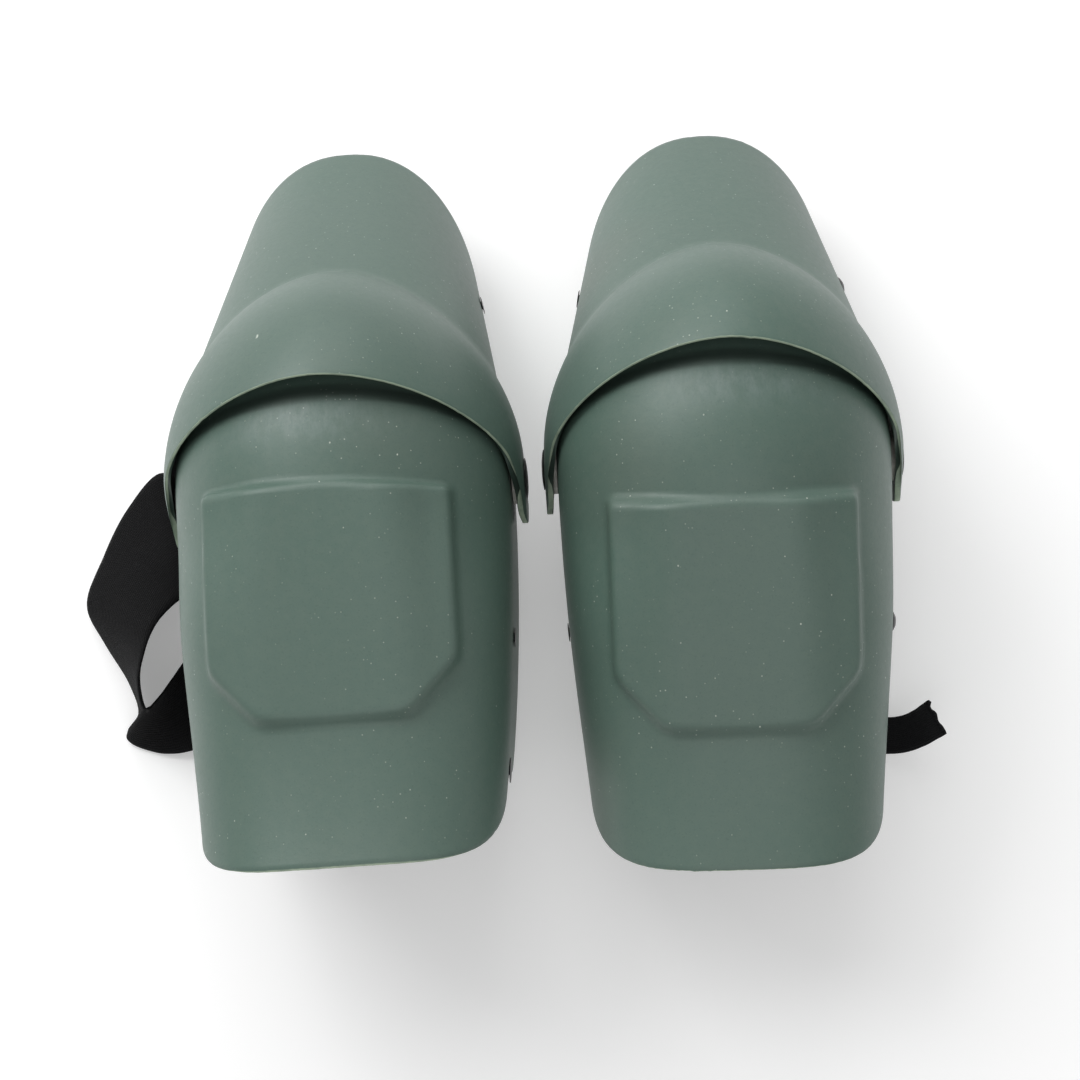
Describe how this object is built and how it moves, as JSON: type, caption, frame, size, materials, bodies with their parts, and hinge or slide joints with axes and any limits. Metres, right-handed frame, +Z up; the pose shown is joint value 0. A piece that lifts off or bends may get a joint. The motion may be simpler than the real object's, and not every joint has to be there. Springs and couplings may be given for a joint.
{
  "type": "hinged hard-shell knee pads",
  "caption": "Pair of long hinged hard-shell knee pads: shin shell with knee dome and flat kneeling plate, hooded thigh shell on side pivots, foam liners and elastic straps.",
  "frame": {"origin": "on the floor under the middle of the pair, as it lies front up", "axes": "+X from the left pad to the right pad, +Y from shin end to thigh end, +Z up out of the kneecaps; pads lie on their open backs"},
  "size_m": [0.3956, 0.3606, 0.1724],
  "materials": {
    "shell_green": "satin grey-green moulded polyethylene, faint mottling and small white nicks, pale trimmed edges",
    "foam_black": "matte closed-cell EVA foam liner",
    "cushion_black": "matte thicker foam knee cushion",
    "strap_black": "matte woven elastic with loop pile",
    "webbing_black": "woven webbing",
    "hook_black": "hook tape",
    "buckle_black": "fine-grained moulded plastic",
    "rivet_black": "satin black",
    "washer_steel": "plated steel",
    "spacer_nylon": "natural nylon"
  },
  "bodies": {
    "left_shin": {"left_shin_foam": "foam_black", "left_knee_cushion": "cushion_black", "left_pivot_rivet_outer": "rivet_black", "left_pivot_washer_outer": "washer_steel", "left_pivot_spacer_outer": "spacer_nylon", "left_pivot_rivet_inner": "rivet_black", "left_pivot_washer_inner": "washer_steel", "left_pivot_spacer_inner": "spacer_nylon", "left_calf_strap_buckle": "buckle_black", "left_calf_strap_tab_rivet": "rivet_black", "left_calf_strap_tab_washer": "washer_steel", "left_calf_strap_anchor_rivet": "rivet_black", "left_calf_strap_anchor_washer": "washer_steel", "left_calf_strap_buckle_tab": "webbing_black", "left_calf_strap": "strap_black", "left_calf_strap_hook_patch": "hook_black", "left_ankle_strap": "strap_black", "left_ankle_strap_rivet": "rivet_black", "left_shin_shell": "shell_green"},
    "left_thigh": {"left_thigh_foam": "foam_black", "left_thigh_strap_buckle": "buckle_black", "left_thigh_strap_tab_rivet": "rivet_black", "left_thigh_strap_tab_washer": "washer_steel", "left_thigh_strap_anchor_rivet": "rivet_black", "left_thigh_strap_anchor_washer": "washer_steel", "left_thigh_strap_buckle_tab": "webbing_black", "left_thigh_strap": "strap_black", "left_thigh_strap_hook_patch": "hook_black", "left_thigh_shell": "shell_green"},
    "right_shin": {"right_shin_foam": "foam_black", "right_knee_cushion": "cushion_black", "right_pivot_rivet_outer": "rivet_black", "right_pivot_washer_outer": "washer_steel", "right_pivot_spacer_outer": "spacer_nylon", "right_pivot_rivet_inner": "rivet_black", "right_pivot_washer_inner": "washer_steel", "right_pivot_spacer_inner": "spacer_nylon", "right_calf_strap_buckle": "buckle_black", "right_calf_strap_tab_rivet": "rivet_black", "right_calf_strap_tab_washer": "washer_steel", "right_calf_strap_anchor_rivet": "rivet_black", "right_calf_strap_anchor_washer": "washer_steel", "right_calf_strap_buckle_tab": "webbing_black", "right_calf_strap": "strap_black", "right_calf_strap_hook_patch": "hook_black", "right_ankle_strap": "strap_black", "right_ankle_strap_rivet": "rivet_black", "right_shin_shell": "shell_green"},
    "right_thigh": {"right_thigh_foam": "foam_black", "right_thigh_strap_buckle": "buckle_black", "right_thigh_strap_tab_rivet": "rivet_black", "right_thigh_strap_tab_washer": "washer_steel", "right_thigh_strap_anchor_rivet": "rivet_black", "right_thigh_strap_anchor_washer": "washer_steel", "right_thigh_strap_buckle_tab": "webbing_black", "right_thigh_strap": "strap_black", "right_thigh_strap_hook_patch": "hook_black", "right_thigh_shell": "shell_green"}
  },
  "joints": [
    {"name": "left_knee_hinge", "type": "hinge", "parent": "left_shin", "child": "left_thigh", "pos_m": [-0.06441, -0.0043, 0.07753], "axis": [-0.9992, -0.0156, -0.037], "range_deg": [-22, 49]},
    {"name": "right_pad_apart", "type": "slide", "parent": "left_shin", "child": "right_shin", "axis": [1, 0, 0], "range_m": [0, 0.3]},
    {"name": "right_knee_hinge", "type": "hinge", "parent": "right_shin", "child": "right_thigh", "pos_m": [0.10144, 0.00075, 0.07753], "axis": [-0.999, 0.022, -0.04], "range_deg": [-37, 34]}
  ]
}
